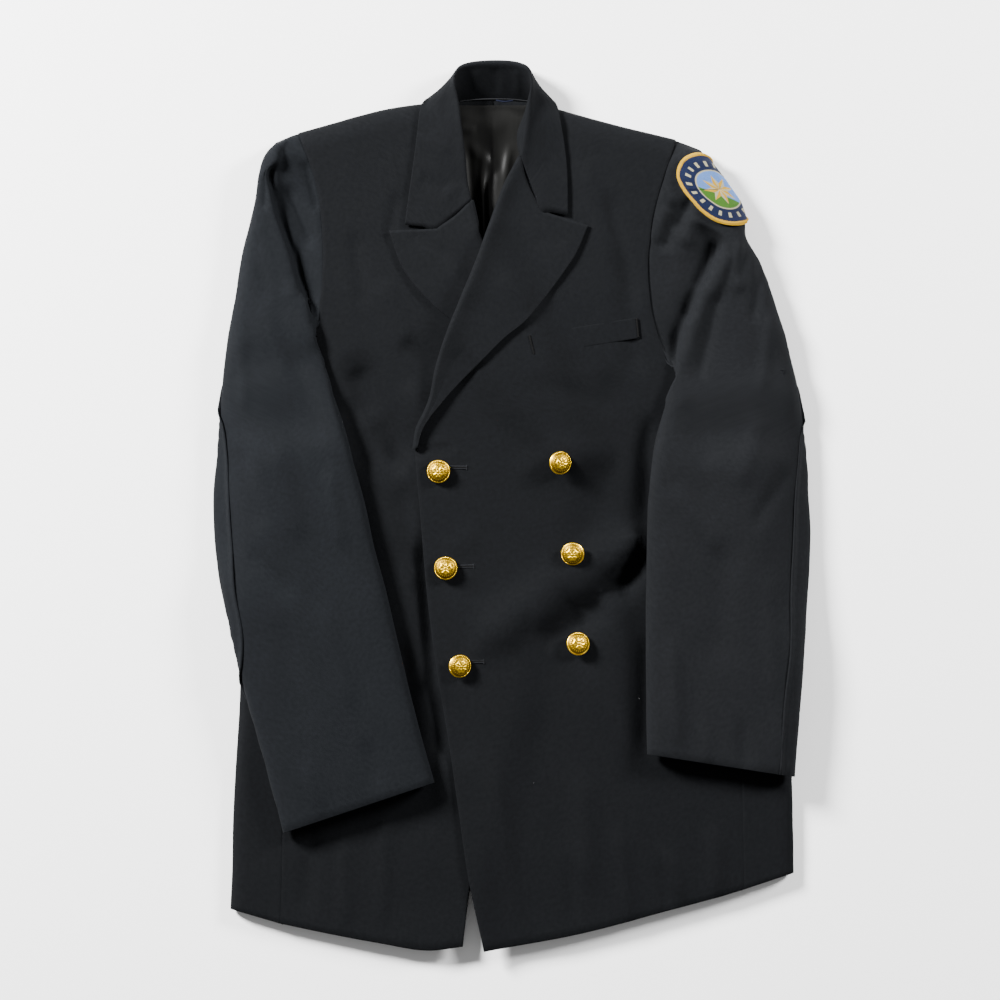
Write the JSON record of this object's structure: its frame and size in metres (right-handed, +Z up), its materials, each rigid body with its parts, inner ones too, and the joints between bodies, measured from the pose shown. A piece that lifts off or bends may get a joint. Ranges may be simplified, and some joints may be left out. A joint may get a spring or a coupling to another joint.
{
  "type": "dress uniform jacket",
  "caption": "Double-breasted dress uniform jacket laid flat on its back, buttoned, with peaked lapels, a turned collar, long two-piece sleeves, a breast welt and a sleeve patch",
  "frame": {"origin": "Middle of the laid jacket's outline, on the surface that it lies on", "axes": "+Y runs from the hem towards the collar, +Z up from the surface, +X to the viewer's right, which is the wearer's left"},
  "size_m": [0.5676, 0.8446, 0.0413],
  "materials": {
    "wool": "black-navy wool twill, softly brushed",
    "satin": "black satin lining",
    "gilt": "polished gilt",
    "embroidery": "gold merrowed edge on coloured embroidery"
  },
  "bodies": {
    "root": {"front_right": "wool", "front_left": "wool", "back_right": "wool", "back_left": "wool", "side_right": "wool", "side_left": "wool", "lapel_right": "wool", "lapel_left": "wool", "collar": "wool", "sleeve_top_right": "wool", "sleeve_under_right": "wool", "sleeve_top_left": "wool", "sleeve_under_left": "wool", "breast_welt": "wool", "back_lining": "satin", "sleeve_patch": "embroidery", "button_1": "gilt", "button_2": "gilt", "button_3": "gilt", "button_4": "gilt", "button_5": "gilt", "button_6": "gilt"}
  },
  "joints": []
}
